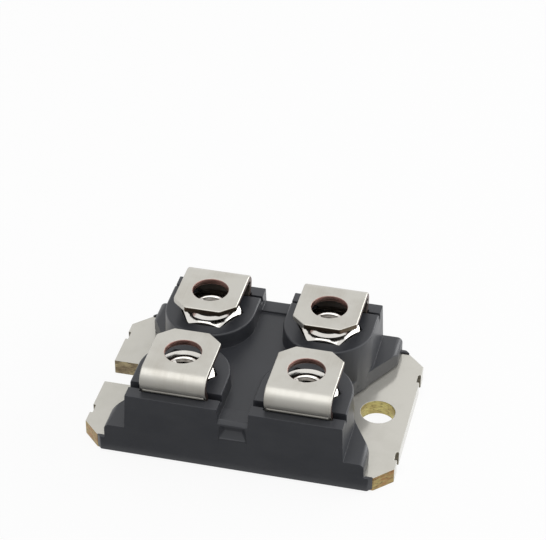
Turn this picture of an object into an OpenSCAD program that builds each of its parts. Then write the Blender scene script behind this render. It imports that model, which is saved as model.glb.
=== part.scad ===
// Four-terminal isolated power MOSFET module, millimetres.
// X runs along the base plate with the closed mounting hole at +X, the terminal legs face -Y and +Y,
// and the underside of the base plate lies on Z = 0.

/* [Base plate] */
// Length of the base plate
plate_l = 38; // [36:0.5:42]
// Thickness of the base plate
plate_t = 2; // [1.5:0.1:3]
// Size of the chamfer on each corner of the base plate
plate_chamfer = 2.1; // [1:0.1:3]
// Distance between the mounting hole and the round end of the mounting slot
mount_pitch = 30.2; // [29:0.1:31]
// Diameter of the mounting hole and width of the mounting slot
mount_d = 4.2; // [3.5:0.1:5]
// Distance of the sheared tie-bar notches from the long axis
tie_y = 7.5; // [6:0.1:8.5]
// Width of a tie-bar notch
tie_w = 1.4; // [1:0.1:2.5]
// Depth of a tie-bar notch
tie_depth = 0.35; // [0.2:0.05:0.8]

/* [Terminals] */
// Distance between the terminal screws along the module
terminal_pitch_x = 15; // [14:0.1:16]
// Distance between the terminal screws across the module
terminal_pitch_y = 12.7; // [12:0.1:14]
// Height of the terminal tabs above the mounting face
terminal_top = 12; // [11.8:0.1:13]
// Width of a terminal tab
tab_w = 8; // [7.5:0.1:8.5]
// Thickness of the terminal strip
strip_t = 0.8; // [0.6:0.05:1]
// Diameter of the screw hole in a tab
tab_hole_d = 4.4; // [4.2:0.1:5]
// Distance of the free end of a tab from its screw
tab_reach = 4.2; // [3.6:0.1:4.8]
// Length along the tab of its corner chamfers
tab_chamfer_y = 1.6; // [1:0.1:2.4]
// Length across the tab of its corner chamfers
tab_chamfer_x = 1.8; // [1:0.1:2.4]
// Inner radius of the bend between tab and leg
bend_r = 0.85; // [0.6:0.05:1]
// Radius on the outer face where the leg starts to lean
lean_r = 0.3; // [0.2:0.05:0.4]
// Depth below the ledge at which the leg starts to lean
lean_depth = 0.2; // [0.1:0.05:0.6]
// Width of the leg below its seat, and of the foot
foot_w = 3.4; // [2.6:0.1:3.8]
// Distance of the foot from the screw axis, towards the middle
foot_shift = 1.1; // [0.8:0.1:1.4]
// Length of the flat of the foot
foot_flat = 0.8; // [0.5:0.1:1]
// Inner radius of the bend above the foot
foot_bend_r = 0.4; // [0.2:0.05:0.5]

/* [Nuts] */
// Width of a nut across its flats
nut_af = 7; // [6.6:0.1:7.2]
// Thickness of a nut
nut_t = 3.1; // [2.6:0.1:3.3]
// Diameter of the bore of a nut at its thread crests
nut_bore_d = 3.3; // [3.2:0.05:3.5]
// Diameter of the countersink at each end of the bore
nut_sink_d = 4.1; // [3.8:0.05:4.4]
// Diameter of the flat ring that the nut chamfer leaves on each face
nut_face_d = 6.4; // [6.2:0.1:6.8]
// Slope of the nut chamfer, in degrees from the face
nut_chamfer_angle = 40; // [25:1:45]
// Height of the nut above the top of its post
nut_proud = 0.45; // [0.3:0.05:1]

/* [Housing] */
// Length of the housing over its shoulders
housing_l = 31.6; // [31:0.1:33]
// Height of the top of the posts above the mounting face
post_top = 9.2; // [9:0.1:9.4]
// Radius of the round inner end of a post, at its foot
post_r = 5.85; // [5.7:0.05:5.95]
// Chamfer round the top of a post
post_chamfer = 0.15; // [0.1:0.05:0.3]
// Height of the floor of the valley between the posts
valley_z = 7; // [6.8:0.1:7.4]
// Height of the sill at each end of the valley above its floor
sill_h = 0.3; // [0.1:0.05:0.5]
// Height of the top of the shoulders
shoulder_z = 4.15; // [3.6:0.05:4.6]
// Radius of the top edge at the ends of the shoulders
shoulder_r = 0.7; // [0.2:0.05:0.9]
// Chamfer on the outer edge of the sill
sill_chamfer = 0.45; // [0.2:0.05:0.6]
// Angle of the recess walls round the mounting screws, from the long axis
recess_angle = 60; // [55:1:65]
// Distance that the feet of the posts stand out of the recess walls
post_proud = 0.15; // [0.05:0.05:0.25]
// Drop from the top of a post to the ledge in front of the leg
ledge_drop = 0.3; // [0.2:0.05:0.4]
// Width of the groove across the post, behind the ledge
groove_w = 0.7; // [0.5:0.05:0.9]
// Depth of the groove that the leg stands in, below the ledge
groove_depth = 0.8; // [0.4:0.1:1]
// Depth below the ledge at which the leg takes its seat
leg_seat_depth = 1.9; // [1.6:0.1:2.1]
// Thickness of the wall between a leg and the outer face, at the mounting face
side_wall = 1.9; // [1.7:0.1:2.2]
// Thickness of the skirt that covers the long edges of the base plate
skirt_t = 0.6; // [0.4:0.05:0.8]
// Height of the lower edge of the skirt above the mounting face
skirt_z = 0.3; // [0.1:0.05:0.6]
// Height of the skirt above the base plate
skirt_rise = 0.2; // [0.1:0.05:0.4]
// Draft of the moulded walls, in degrees
draft = 2; // [1:0.25:2.5]
// Thickness of the floor between a nut pocket and the cavity
pocket_floor = 0.95; // [0.7:0.05:1.1]
// Depth of the screw well below a nut pocket
well_depth = 1.35; // [1:0.05:1.5]
// Diameter of the screw well
well_d = 4.6; // [4.3:0.1:5]
// Thickness of the wall round and below a screw well
well_wall = 0.6; // [0.5:0.05:0.8]
// Distance from the sill chamfer to the moulding pocket below it
face_pocket_gap = 0.25; // [0.2:0.05:0.5]
// Width of the moulding pocket in the middle of each long face, at its mouth
face_pocket_w = 3.3; // [2.6:0.1:3.4]
// Width of the back of the moulding pocket, between its sloping sides
face_pocket_back_w = 2.1; // [1.4:0.1:2.4]
// Height of the moulding pocket
face_pocket_h = 1.8; // [1.2:0.1:2.2]
// Depth of the moulding pocket
face_pocket_depth = 0.6; // [0.3:0.05:0.7]

/* [Substrate] */
// Thickness of the solder between base plate and substrate
plate_solder_t = 0.15; // [0.1:0.01:0.2]
// Thickness of each copper layer of the substrate
copper_t = 0.3; // [0.2:0.05:0.35]
// Thickness of the ceramic of the substrate
ceramic_t = 0.63; // [0.38:0.01:0.7]
// Ceramic beyond the outer faces of the legs
ceramic_overhang = 0.25; // [0.2:0.05:0.35]
// Bare ceramic border round the copper
ceramic_border = 0.6; // [0.4:0.05:0.8]
// Copper beyond the outer edge of a terminal foot
pad_border = 0.1; // [0.05:0.05:0.2]
// Gap between neighbouring copper areas
pad_gap = 0.6; // [0.5:0.05:0.8]
// Place along X of the gap between the sense pad and the source pad
sense_split_x = -2.4; // [-2.6:0.1:-2.2]
// Place along X of the gap between the gate pad and the drain pad
gate_split_x = 1.3; // [0.8:0.1:1.8]

/* [Chip and wires] */
// Length of the chip along X
die_l = 9.6; // [9:0.1:11]
// Width of the chip along Y
die_w = 7.6; // [7.2:0.1:8]
// Thickness of the chip
die_t = 0.3; // [0.2:0.05:0.4]
// Drain copper beyond the long edges of the chip
die_border = 0.6; // [0.4:0.05:0.8]
// Thickness of the solder under the chip and under the feet
chip_solder_t = 0.1; // [0.05:0.01:0.15]
// Diameter of a bond wire
wire_d = 0.3; // [0.2:0.05:0.35]
// Number of source wires
source_wires = 8; // [4:1:8]
// Distance between source wires
wire_pitch = 0.75; // [0.6:0.01:0.75]
// Place along X of the gate wire
gate_wire_x = -2; // [-3.5:0.1:0]
// Distance of a bond from the edge of its chip or pad
bond_inset = 0.5; // [0.4:0.05:0.6]
// Length of the flattened foot of a bond
bond_l = 0.5; // [0.4:0.05:0.6]
// Height of the flattened foot of a bond
bond_h = 0.15; // [0.1:0.01:0.2]
// Height of the gel below the roof of the cavity
gel_air = 0.25; // [0.15:0.05:0.3]

/* [Fits] */
// Clearance between a nut and each wall of its pocket
nut_clear = 0.1; // [0.05:0.01:0.15]
// Clearance between a leg and each wall of its slot
leg_clear = 0.1; // [0.05:0.01:0.15]
// Clearance between the base plate and the skirt
skirt_clear = 0.05; // [0.02:0.01:0.1]
// Clearance between the substrate and the cavity walls
substrate_clear = 0.4; // [0.2:0.05:0.5]
// Thickness of the glue between housing and base plate
glue_t = 0.15; // [0.1:0.01:0.2]
// Distance of the glue line from the outer walls
glue_inset = 0.3; // [0.2:0.05:0.5]

/* [Hidden] */
$fn = 64;
eps = 0.1;
far = 40;
step = 0.001;
taper = tan(draft);

// Corners as signs of X and Y
drain = [1, -1];
source = [1, 1];
gate = [-1, -1];
sense = [-1, 1];
corner_list = [drain, source, gate, sense];

// Terminal and leg, in the corner where X and Y are positive
term_x = terminal_pitch_x / 2;
term_y = terminal_pitch_y / 2;
leg_in_y = term_y + nut_af / 2 + nut_clear;
leg_out_y = leg_in_y + strip_t;
slot_in_y = leg_in_y - leg_clear;
slot_out_y = leg_out_y + leg_clear;
tab_end_y = term_y - tab_reach;
bend_out_r = bend_r + strip_t;
foot_bend_out_r = foot_bend_r + strip_t;
foot_x0 = term_x - foot_shift - foot_w / 2;
foot_x1 = foot_x0 + foot_w;
foot_bend_y = leg_out_y - foot_bend_out_r;
foot_end_y = foot_bend_y - foot_flat;

// Housing outline
side_y = leg_out_y + side_wall;
end_x = housing_l / 2;
ledge_z = post_top - ledge_drop;
groove_z = ledge_z - groove_depth;
leg_seat_z = ledge_z - leg_seat_depth;
recess_apex = term_x + (post_r - post_proud - term_y * cos(recess_angle)) / sin(recess_angle);
housing_z = plate_t + glue_t;
post_r_top = post_r - (post_top - housing_z) * taper;
sill_z = valley_z + sill_h;
sill_face_y = side_y - sill_z * taper;
pocket_z = post_top + nut_proud - nut_t;
well_z = pocket_z - well_depth;
cavity_z = pocket_z - pocket_floor;

// Leaning stretch of a leg above its ledge, three parts out for four parts up, and the bend above it
lean_parts = [3, 4];
lean_angle = atan2(lean_parts[0], lean_parts[1]);
lean_dir = lean_parts / norm(lean_parts);
bend_z = terminal_top - bend_out_r;
lean_top_z = bend_z - bend_out_r * lean_dir[0];
lean_rise = lean_top_z - (ledge_z - lean_depth + lean_r * lean_dir[0]);
lean_step = round(lean_rise / lean_parts[1] / step) * step;
lean_run = lean_step * norm(lean_parts);
lean_foot_y = leg_out_y + lean_r * (1 - lean_dir[1]);
lean_foot_z = lean_top_z - lean_step * lean_parts[1];
lean_z = lean_foot_z - lean_r * lean_dir[0];
bend_y = lean_foot_y + lean_step * lean_parts[0] - bend_out_r * lean_dir[1];
strip_out_y = bend_y + bend_out_r;
lean_room_y = slot_out_y + (ledge_z - lean_z) * lean_parts[0] / lean_parts[1];

// Base plate width, set by the skirt of the housing
plate_w = 2 * (side_y - skirt_t - skirt_clear);
mount_x = mount_pitch / 2;

// Substrate, set by the terminal feet
ceramic_l = 2 * (foot_x1 + pad_border + ceramic_border);
ceramic_w = 2 * (leg_out_y + ceramic_overhang);
pad_x = ceramic_l / 2 - ceramic_border;
pad_y = ceramic_w / 2 - ceramic_border;
cavity_x = ceramic_l / 2 + substrate_clear;
cavity_y = ceramic_w / 2 + substrate_clear;
base_copper_z = plate_t + plate_solder_t;
ceramic_z = base_copper_z + copper_t;
pad_z = ceramic_z + ceramic_t;
pad_top = pad_z + copper_t;
chip_z = pad_top + chip_solder_t;
chip_top = chip_z + die_t;
drain_pad_y = die_w / 2 + die_border;
side_pad_y = drain_pad_y + pad_gap;
gel_top = cavity_z - gel_air;

// Bond wires, from the edge of the chip to the edge of a side pad
bond_chip_y = die_w / 2 - bond_inset;
bond_pad_y = side_pad_y + bond_inset;
first_wire_x = sense_split_x + pad_gap / 2 + bond_inset;
sense_wire_x = sense_split_x - pad_gap / 2 - bond_inset;

// Moves a child from the corner where X and Y are positive to the given corner
module at_corner(corner) {
    mirror([corner[0] < 0 ? 1 : 0, 0, 0])
        mirror([0, corner[1] < 0 ? 1 : 0, 0])
            children();
}

module all_corners() {
    for (corner = corner_list)
        at_corner(corner)
            children();
}

// Both long sides, from the side where Y is positive
module both_sides() {
    for (turn = [0, 1])
        mirror([0, turn, 0])
            children();
}

// Box between two corner points
module block(low, high) {
    translate(low)
        cube(high - low);
}

// Extrudes a profile drawn in Y and Z along X, from x0 to x1
module along_x(x0, x1) {
    translate([x0, 0, 0])
        rotate([90, 0, 90])
            linear_extrude(x1 - x0)
                children();
}

// Extrudes a profile drawn in X and Z along Y, from y0 to y1
module along_y(y0, y1) {
    translate([0, y1, 0])
        rotate([90, 0, 0])
            linear_extrude(y1 - y0)
                children();
}

// Direction of an angle in a profile
function toward(angle) = [cos(angle), sin(angle)];

// Part of a ring between two angles
module ring_sector(inner_r, outer_r, first, last) {
    reach = 2 * outer_r;
    intersection() {
        difference() {
            circle(outer_r);
            circle(inner_r);
        }
        polygon([[0, 0], reach * toward(first), reach * toward((first + last) / 2), reach * toward(last)]);
    }
}

module base_plate() {
    half = [plate_l / 2, plate_w / 2];
    color("#c8c4ba")
        difference() {
            linear_extrude(plate_t)
                polygon([for (s = [[1, 1], [-1, 1], [-1, -1], [1, -1]], first = [1, 0])
                    let (on_end = (s[0] * s[1] > 0) ? first : 1 - first)
                    [s[0] * (half[0] - (1 - on_end) * plate_chamfer),
                     s[1] * (half[1] - on_end * plate_chamfer)]]);
            translate([mount_x, 0, -eps])
                cylinder(d = mount_d, h = plate_t + 2 * eps);
            mount_slot();
            for (side = [-1, 1], end = [-1, 1])
                translate([end * half[0], side * tie_y, plate_t / 2])
                    cube([2 * tie_depth, tie_w, plate_t + 2 * eps], center = true);
        }
}

// Slot that is open at the -X end of the base plate
module mount_slot() {
    translate([-mount_x, 0, -eps])
        cylinder(d = mount_d, h = plate_t + 2 * eps);
    block([-plate_l / 2 - eps, -mount_d / 2, -eps], [-mount_x, mount_d / 2, plate_t + eps]);
}

// Plan of the lower body: a rectangle with a V-shaped recess at each end, drawn inset by a distance
module body_plan(half_w, inset) {
    apex = recess_apex - inset / sin(recess_angle);
    run = far - apex;
    difference() {
        square(2 * [end_x - inset, half_w - inset], center = true);
        for (turn = [0, 1])
            mirror([turn, 0])
                polygon([[apex, 0], [far, run * tan(recess_angle)], [far, -run * tan(recess_angle)]]);
    }
}

// Shoulder profile along X with round top edges at both ends
module shoulder_profile() {
    translate([-end_x, 0])
        square([2 * end_x, shoulder_z - shoulder_r]);
    translate([-end_x + shoulder_r, 0])
        square([2 * (end_x - shoulder_r), shoulder_z]);
    for (side = [-1, 1])
        translate([side * (end_x - shoulder_r), shoulder_z - shoulder_r])
            circle(shoulder_r);
}

// Terminal post with a round inner end, drafted walls and a chamfered rim
module post() {
    rise = post_top - housing_z;
    rim_z = rise - post_chamfer;
    rim_r = post_r - rim_z * taper;
    face_r = post_r_top - post_chamfer;
    translate([term_x, term_y, housing_z]) {
        cylinder(r1 = post_r, r2 = rim_r, h = rim_z);
        translate([0, 0, rim_z])
            cylinder(r1 = rim_r, r2 = face_r, h = post_chamfer);
        along_y(0, side_y - term_y)
            polygon([[-post_r, 0], [post_r, 0], [rim_r, rim_z], [face_r, rise],
                     [-face_r, rise], [-rim_r, rim_z]]);
    }
}

// Skirt over one long edge of the base plate, cut off along the corner chamfers of the plate
module skirt_plan() {
    inner_y = plate_w / 2 + skirt_clear;
    chamfer_sum = plate_l / 2 + plate_w / 2 - plate_chamfer;
    inner_x = chamfer_sum - inner_y;
    outer_x = chamfer_sum - side_y;
    polygon([[-inner_x, inner_y], [inner_x, inner_y], [outer_x, side_y], [-outer_x, side_y]]);
}

// Side view of the wall and sill at one end of the valley
module sill_profile() {
    top_y = sill_face_y - sill_chamfer;
    polygon([[slot_in_y, housing_z], [side_y, housing_z], [side_y, sill_z - side_y + top_y],
             [top_y, sill_z], [slot_in_y, sill_z]]);
}

// Outer form of the housing between its drafted long faces
module housing_form() {
    intersection() {
        along_x(-far, far)
            polygon([[-side_y, 0], [side_y, 0], [side_y - post_top * taper, post_top],
                     [-side_y + post_top * taper, post_top]]);
        union() {
            intersection() {
                translate([0, 0, housing_z])
                    linear_extrude(shoulder_z - housing_z)
                        body_plan(side_y, 0);
                along_y(-side_y, side_y)
                    shoulder_profile();
            }
            block([-recess_apex, -slot_in_y, housing_z], [recess_apex, slot_in_y, valley_z]);
            both_sides()
                along_x(-term_x, term_x)
                    sill_profile();
            all_corners()
                post();
            both_sides()
                translate([0, 0, skirt_z])
                    linear_extrude(plate_t + skirt_rise - skirt_z)
                        skirt_plan();
        }
    }
}

// Ledge, groove and slot that the leg of one terminal stands in
module leg_slot() {
    wide = tab_w / 2 + leg_clear;
    block([0, slot_in_y, ledge_z], [end_x, side_y + eps, post_top + eps]);
    block([term_x - post_r, slot_in_y, groove_z], [term_x + post_r, slot_in_y + groove_w, post_top]);
    block([term_x - wide, slot_in_y, groove_z], [term_x + wide, lean_room_y, post_top]);
    block([term_x - wide, slot_in_y, leg_seat_z], [term_x + wide, slot_out_y, post_top]);
    block([foot_x0 - leg_clear, slot_in_y, cavity_z - eps], [foot_x1 + leg_clear, slot_out_y, post_top]);
}

// Hexagonal pocket for one nut, with the screw well below it
module nut_pocket() {
    translate([term_x, term_y, 0]) {
        translate([0, 0, pocket_z])
            cylinder(d = (nut_af + 2 * nut_clear) / cos(30), h = nut_t, $fn = 6);
        translate([0, 0, well_z])
            cylinder(d = well_d, h = well_depth + eps);
    }
}

// Wall round and below one screw well, where it hangs into the cavity
module well_boss() {
    translate([term_x, term_y, well_z - well_wall])
        cylinder(d = well_d + 2 * well_wall, h = far);
}

// Room for the substrate, open towards the base plate
module cavity(top) {
    difference() {
        block([-cavity_x, -cavity_y, plate_t], [cavity_x, cavity_y, top]);
        all_corners()
            well_boss();
    }
}

// Moulding pocket in the middle of one long face, with sloping sides and a sloping lower lip
module face_pocket() {
    top = sill_z - sill_chamfer - face_pocket_gap;
    face_y = side_y - top * taper;
    back_y = face_y - face_pocket_depth;
    mouth = face_pocket_w / 2;
    back = face_pocket_back_w / 2;
    intersection() {
        along_x(-mouth, mouth)
            polygon([[side_y, top], [back_y, top], [back_y, top - face_pocket_h / 2],
                     [face_y, top - face_pocket_h], [side_y, top - face_pocket_h]]);
        linear_extrude(post_top)
            polygon([[-back, back_y], [back, back_y], [mouth, face_y],
                     [mouth, side_y], [-mouth, side_y], [-mouth, face_y]]);
    }
}

module housing() {
    color("#3b3d41")
        difference() {
            housing_form();
            all_corners()
                leg_slot();
            all_corners()
                nut_pocket();
            cavity(cavity_z);
            both_sides()
                face_pocket();
        }
}

module case_adhesive() {
    color("#26272a")
        translate([0, 0, plate_t])
            linear_extrude(glue_t)
                difference() {
                    body_plan(plate_w / 2, glue_inset);
                    square(2 * [cavity_x, cavity_y], center = true);
                }
}

// Side view of a terminal strip: tab, bend, lean, leg, lower bend and foot
module strip_profile() {
    translate([tab_end_y, terminal_top - strip_t])
        square([bend_y - tab_end_y, strip_t]);
    translate([bend_y, bend_z])
        ring_sector(bend_r, bend_out_r, -lean_angle, 90);
    translate([lean_foot_y, lean_foot_z])
        rotate(-lean_angle)
            translate([-strip_t, 0])
                square([strip_t, lean_run]);
    translate([leg_out_y + lean_r, lean_z])
        ring_sector(lean_r, lean_r + strip_t, 180 - lean_angle, 180);
    translate([leg_in_y, chip_z + foot_bend_out_r])
        square([strip_t, lean_z - chip_z - foot_bend_out_r]);
    translate([foot_bend_y, chip_z + foot_bend_out_r])
        ring_sector(foot_bend_r, foot_bend_out_r, -90, 0);
    translate([foot_end_y, chip_z])
        square([foot_flat, strip_t]);
}

// Plan of the tab, with the corners of its free end cut off
module tab_plan() {
    half = tab_w / 2;
    translate([term_x, 0])
        polygon([[-half, tab_end_y + tab_chamfer_y], [-half + tab_chamfer_x, tab_end_y],
                 [half - tab_chamfer_x, tab_end_y], [half, tab_end_y + tab_chamfer_y],
                 [half, strip_out_y], [-half, strip_out_y]]);
}

module terminal(corner) {
    seat_z = leg_seat_z + leg_clear;
    color("#cbc7bd")
        at_corner(corner)
            difference() {
                intersection() {
                    along_x(term_x - tab_w / 2, term_x + tab_w / 2)
                        strip_profile();
                    union() {
                        translate([0, 0, seat_z])
                            linear_extrude(terminal_top - seat_z)
                                tab_plan();
                        block([foot_x0, foot_end_y, chip_z], [foot_x1, leg_out_y, seat_z]);
                    }
                }
                translate([term_x, term_y, post_top])
                    cylinder(d = tab_hole_d, h = terminal_top);
            }
}

module drain_terminal() {
    terminal(drain);
}

module source_terminal() {
    terminal(source);
}

module gate_terminal() {
    terminal(gate);
}

module source_sense_terminal() {
    terminal(sense);
}

// Side view of half a nut from its axis, with chamfered corners and a countersunk bore
module nut_profile() {
    corner_r = nut_af / cos(30) / 2;
    chamfer = (corner_r - nut_face_d / 2) * tan(nut_chamfer_angle);
    sink = (nut_sink_d - nut_bore_d) / 2;
    polygon([[nut_sink_d / 2, 0], [nut_face_d / 2, 0], [corner_r, chamfer], [corner_r, nut_t - chamfer],
             [nut_face_d / 2, nut_t], [nut_sink_d / 2, nut_t], [nut_bore_d / 2, nut_t - sink],
             [nut_bore_d / 2, sink]]);
}

module nut(corner) {
    color("#d2cfc8")
        at_corner(corner)
            translate([term_x, term_y, pocket_z])
                intersection() {
                    cylinder(d = nut_af / cos(30), h = nut_t, $fn = 6);
                    rotate_extrude()
                        nut_profile();
                }
}

module drain_nut() {
    nut(drain);
}

module source_nut() {
    nut(source);
}

module gate_nut() {
    nut(gate);
}

module source_sense_nut() {
    nut(sense);
}

// Layer of copper or solder on the substrate, between two plan points
module layer(low, high, z, thickness) {
    block([low[0], low[1], z], [high[0], high[1], z + thickness]);
}

module substrate_solder() {
    color("#9a9a9c")
        layer([-pad_x, -pad_y], [pad_x, pad_y], plate_t, plate_solder_t);
}

module substrate_base_copper() {
    color("#b87333")
        layer([-pad_x, -pad_y], [pad_x, pad_y], base_copper_z, copper_t);
}

module substrate_ceramic() {
    color("#e8e6df")
        layer([-ceramic_l / 2, -ceramic_w / 2], [ceramic_l / 2, ceramic_w / 2], ceramic_z, ceramic_t);
}

// The chip area, with an arm to the foot of the drain terminal
module drain_pad() {
    arm_x = gate_split_x + pad_gap / 2;
    color("#c07a3a")
        translate([0, 0, pad_z])
            linear_extrude(copper_t)
                polygon([[-pad_x, drain_pad_y], [-pad_x, -drain_pad_y], [arm_x, -drain_pad_y],
                         [arm_x, -pad_y], [pad_x, -pad_y], [pad_x, drain_pad_y]]);
}

module source_pad() {
    color("#c07a3a")
        layer([sense_split_x + pad_gap / 2, side_pad_y], [pad_x, pad_y], pad_z, copper_t);
}

module gate_pad() {
    color("#c07a3a")
        layer([-pad_x, -pad_y], [gate_split_x - pad_gap / 2, -side_pad_y], pad_z, copper_t);
}

module source_sense_pad() {
    color("#c07a3a")
        layer([-pad_x, side_pad_y], [sense_split_x - pad_gap / 2, pad_y], pad_z, copper_t);
}

module die_solder() {
    color("#8f8f92")
        layer([-die_l / 2, -die_w / 2], [die_l / 2, die_w / 2], pad_top, chip_solder_t);
}

module mosfet_die() {
    color("#5c6270")
        layer([-die_l / 2, -die_w / 2], [die_l / 2, die_w / 2], chip_z, die_t);
}

module foot_solder() {
    color("#8f8f92")
        all_corners()
            layer([foot_x0, foot_end_y], [foot_x1, foot_bend_y], pad_top, chip_solder_t);
}

// One bond wire from the chip to a side pad, towards +Y
module bond_wire(x) {
    loop_r = (bond_pad_y - bond_chip_y) / 2;
    translate([x, bond_chip_y + loop_r, chip_top])
        rotate([90, 0, 90])
            rotate_extrude(angle = 180)
                translate([loop_r, 0])
                    circle(d = wire_d);
    translate([x, bond_pad_y, pad_top])
        cylinder(d = wire_d, h = chip_top - pad_top);
    block([x - wire_d / 2, bond_chip_y - bond_l / 2, chip_top],
          [x + wire_d / 2, bond_chip_y + bond_l / 2, chip_top + bond_h]);
    block([x - wire_d / 2, bond_pad_y - bond_l / 2, pad_top],
          [x + wire_d / 2, bond_pad_y + bond_l / 2, pad_top + bond_h]);
}

module source_bond_wires() {
    color("#dcdcdc")
        for (i = [0 : source_wires - 1])
            bond_wire(first_wire_x + i * wire_pitch);
}

module gate_bond_wire() {
    color("#dcdcdc")
        mirror([0, 1, 0])
            bond_wire(gate_wire_x);
}

module source_sense_bond_wire() {
    color("#dcdcdc")
        bond_wire(sense_wire_x);
}

// Gel that fills the cavity round everything on the base plate
module silicone_gel() {
    color("#dfe6ea", 0.4)
        difference() {
            cavity(gel_top);
            substrate_solder();
            substrate_base_copper();
            substrate_ceramic();
            drain_pad();
            source_pad();
            gate_pad();
            source_sense_pad();
            die_solder();
            mosfet_die();
            foot_solder();
            for (corner = corner_list)
                terminal(corner);
            source_bond_wires();
            gate_bond_wire();
            source_sense_bond_wire();
        }
}

base_plate();
housing();
case_adhesive();
drain_terminal();
source_terminal();
gate_terminal();
source_sense_terminal();
drain_nut();
source_nut();
gate_nut();
source_sense_nut();
substrate_solder();
substrate_base_copper();
substrate_ceramic();
drain_pad();
source_pad();
gate_pad();
source_sense_pad();
die_solder();
mosfet_die();
foot_solder();
source_bond_wires();
gate_bond_wire();
source_sense_bond_wire();
silicone_gel();
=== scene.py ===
"""Looks of a four-terminal isolated power MOSFET module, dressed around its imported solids."""

import logging
import math
from dataclasses import dataclass
from enum import Enum, IntEnum
from typing import Callable

import bpy
from mathutils import Matrix, Vector


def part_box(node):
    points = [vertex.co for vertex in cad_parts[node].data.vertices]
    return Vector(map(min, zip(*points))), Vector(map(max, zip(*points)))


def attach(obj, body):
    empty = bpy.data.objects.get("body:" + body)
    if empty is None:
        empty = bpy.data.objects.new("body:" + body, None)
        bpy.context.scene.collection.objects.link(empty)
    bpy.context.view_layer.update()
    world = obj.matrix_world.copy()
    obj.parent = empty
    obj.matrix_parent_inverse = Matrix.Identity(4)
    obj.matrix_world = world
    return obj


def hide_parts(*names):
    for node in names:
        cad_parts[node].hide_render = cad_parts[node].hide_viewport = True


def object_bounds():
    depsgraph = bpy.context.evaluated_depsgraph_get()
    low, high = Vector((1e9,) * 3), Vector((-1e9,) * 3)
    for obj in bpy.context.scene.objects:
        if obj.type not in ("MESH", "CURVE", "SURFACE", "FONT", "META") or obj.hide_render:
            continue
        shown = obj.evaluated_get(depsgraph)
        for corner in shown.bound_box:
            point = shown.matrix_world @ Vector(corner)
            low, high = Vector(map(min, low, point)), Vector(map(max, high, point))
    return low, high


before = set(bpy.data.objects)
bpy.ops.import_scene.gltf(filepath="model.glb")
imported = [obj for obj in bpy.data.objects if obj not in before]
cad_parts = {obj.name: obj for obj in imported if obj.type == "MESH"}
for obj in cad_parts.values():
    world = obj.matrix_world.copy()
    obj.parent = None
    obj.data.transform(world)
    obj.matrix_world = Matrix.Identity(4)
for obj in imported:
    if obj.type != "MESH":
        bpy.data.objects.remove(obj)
CAD_LOW, CAD_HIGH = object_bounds()

MM = 0.001
BODY = "root"
LOG = logging.getLogger("power_module")

Triple = tuple[float, float, float]
Color = Triple
Piece = bpy.types.Object
Socket = bpy.types.NodeSocket
FaceRule = Callable[[Vector, Vector], int]
Section = list[tuple[float, float]]


class Corner(Enum):
    """A terminal's place, by the name of its function."""

    DRAIN = "drain"
    SOURCE = "source"
    GATE = "gate"
    SOURCE_SENSE = "source_sense"

    @property
    def terminal_node(self) -> str:
        """Name of the CAD node of the terminal strip."""
        return self.value + "_terminal"

    @property
    def nut_node(self) -> str:
        """Name of the CAD node of the nut."""
        return self.value + "_nut"

    @property
    def strip_name(self) -> str:
        """Name of the finished strip."""
        return self.value + "_strip"

    @property
    def threaded_name(self) -> str:
        """Name of the finished nut."""
        return self.value + "_threaded_nut"


class Slot(Enum):
    """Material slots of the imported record."""

    BASE = "plated_base"
    CASE = "moulded_case"
    TERMINAL = "plated_terminal"
    NUT = "plated_nut"


class StripFace(IntEnum):
    """Kinds of face on a terminal strip, in the order of their finishes."""

    PLATE = 0
    HOLE = 1
    END = 2
    # Inner faces under the tab, painted near-black as shade.
    INNER_SHADE = 3
    SIDE = 4


class BaseFace(IntEnum):
    """Kinds of face on the base plate, in the order of their finishes."""

    PLATE = 0
    HOLE = 1
    SLOT = 2
    CORNER = 3
    NOTCH = 4


class NutFace(IntEnum):
    """Kinds of face on a nut, in the order of their finishes."""

    PLATE = 0
    # Cut thread in the bore, painted darker as shade.
    THREAD = 1


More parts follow.
